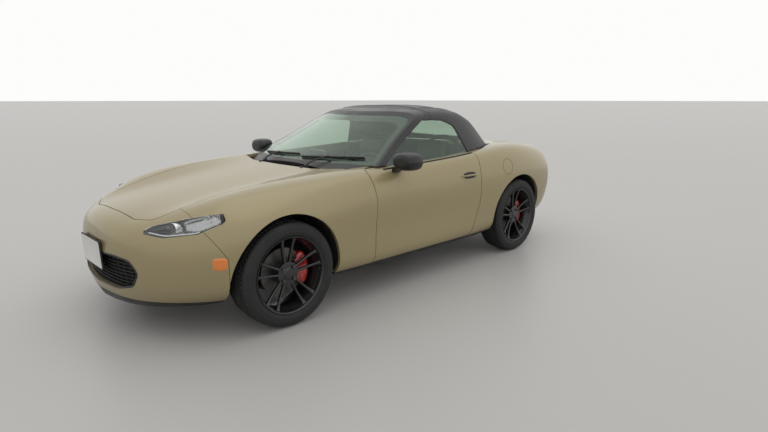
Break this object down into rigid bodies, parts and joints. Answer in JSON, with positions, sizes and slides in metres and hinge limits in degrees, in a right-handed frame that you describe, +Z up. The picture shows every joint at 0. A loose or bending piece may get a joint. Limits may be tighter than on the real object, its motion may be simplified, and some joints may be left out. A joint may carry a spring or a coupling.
{
  "type": "two-seat roadster convertible",
  "caption": "Open two-seat roadster with its fabric top raised, hinged doors, bonnet and boot lid, steered front wheels and turning road wheels.",
  "frame": {"origin": "on the ground, at the middle of the overall length and width", "axes": "+Z up, -Y towards the front of the car, +X towards its left side"},
  "size_m": [1.9546, 3.915, 1.2299],
  "materials": {
    "paint": "metallic clear-coated sand",
    "trim": "matte",
    "gloss_trim": "gloss black",
    "glass": "clear tinted",
    "fabric": "woven",
    "seat_cloth": "woven",
    "lamp": "clear lens",
    "tail_lamp": "red lens",
    "cast_metal": "as cast",
    "steel": "satin",
    "wheel_paint": "gloss black",
    "tyre": "matte",
    "disc": "machined"
  },
  "bodies": {
    "body": {"front_tub": "trim", "floor_tub": "trim", "rear_tub": "trim", "front_bumper": "paint", "grille": "trim", "front_lip": "gloss_trim", "fender_left": "paint", "fender_right": "paint", "quarter_left": "paint", "quarter_right": "paint", "rear_deck": "paint", "rear_bumper": "paint", "side_sills": "gloss_trim", "windscreen_frame": "gloss_trim", "windscreen_glass": "glass", "cowl_panel": "trim", "soft_top": "fabric", "rear_window": "glass", "headlamps": "lamp", "tail_lamps": "tail_lamp", "dashboard": "trim", "seat_left": "seat_cloth", "seat_right": "seat_cloth", "engine_block": "cast_metal", "exhaust": "steel", "front_suspension": "cast_metal", "rear_suspension": "cast_metal"},
    "door_left": {"door_left": "paint", "glass_left": "glass", "mirror_left": "gloss_trim"},
    "door_right": {"door_right": "paint", "glass_right": "glass", "mirror_right": "gloss_trim"},
    "hood": {"hood": "paint"},
    "boot_lid": {"boot_lid": "paint"},
    "knuckle_left": {"knuckle_left": "cast_metal"},
    "knuckle_right": {"knuckle_right": "cast_metal"},
    "steering_wheel": {"steering_wheel": "trim"},
    "wheel_fl": {"rim_fl": "wheel_paint", "tyre_fl": "tyre", "disc_fl": "disc"},
    "wheel_fr": {"rim_fr": "wheel_paint", "tyre_fr": "tyre", "disc_fr": "disc"},
    "wheel_rl": {"rim_rl": "wheel_paint", "tyre_rl": "tyre", "disc_rl": "disc"},
    "wheel_rr": {"rim_rr": "wheel_paint", "tyre_rr": "tyre", "disc_rr": "disc"}
  },
  "joints": [
    {"name": "steer_left", "type": "hinge", "parent": "body", "child": "knuckle_left", "pos_m": [0.702, -1.1925, 0.308], "axis": [0, 0, 1], "range_deg": [-33, 33]},
    {"name": "steer_right", "type": "hinge", "parent": "body", "child": "knuckle_right", "pos_m": [-0.702, -1.1925, 0.308], "axis": [0, 0, 1], "range_deg": [-33, 33]},
    {"name": "steering_wheel_turn", "type": "hinge", "parent": "body", "child": "steering_wheel", "pos_m": [0.365, -0.0809, 0.71495], "axis": [0, 0.9272, 0.3746], "range_deg": [-490, 490]},
    {"name": "wheel_fl_spin", "type": "hinge", "parent": "knuckle_left", "child": "wheel_fl", "pos_m": [0.7475, -1.1925, 0.308], "axis": [1, 0, 0], "continuous": true},
    {"name": "wheel_fr_spin", "type": "hinge", "parent": "knuckle_right", "child": "wheel_fr", "pos_m": [-0.7475, -1.1925, 0.308], "axis": [1, 0, 0], "continuous": true},
    {"name": "wheel_rl_spin", "type": "hinge", "parent": "body", "child": "wheel_rl", "pos_m": [0.7525, 1.1175, 0.308], "axis": [1, 0, 0], "continuous": true},
    {"name": "wheel_rr_spin", "type": "hinge", "parent": "body", "child": "wheel_rr", "pos_m": [-0.7525, 1.1175, 0.308], "axis": [1, 0, 0], "continuous": true},
    {"name": "door_left_swing", "type": "hinge", "parent": "body", "child": "door_left", "pos_m": [0.7875, -0.4355, 0.5], "axis": [0, 0, 1], "range_deg": [-65, 0]},
    {"name": "door_right_swing", "type": "hinge", "parent": "body", "child": "door_right", "pos_m": [-0.7875, -0.4355, 0.5], "axis": [0, 0, 1], "range_deg": [0, 65]},
    {"name": "hood_lift", "type": "hinge", "parent": "body", "child": "hood", "pos_m": [0, -0.62257, 0.78984], "axis": [1, 0, 0], "range_deg": [-50, 0]},
    {"name": "boot_lid_lift", "type": "hinge", "parent": "body", "child": "boot_lid", "pos_m": [0, 1.2755, 0.85742], "axis": [1, 0, 0], "range_deg": [0, 75]}
  ],
  "couplings": [
    {"joint": "steer_right", "follows": "steer_left", "ratio": 1},
    {"joint": "steering_wheel_turn", "follows": "steer_left", "ratio": 14.7}
  ]
}
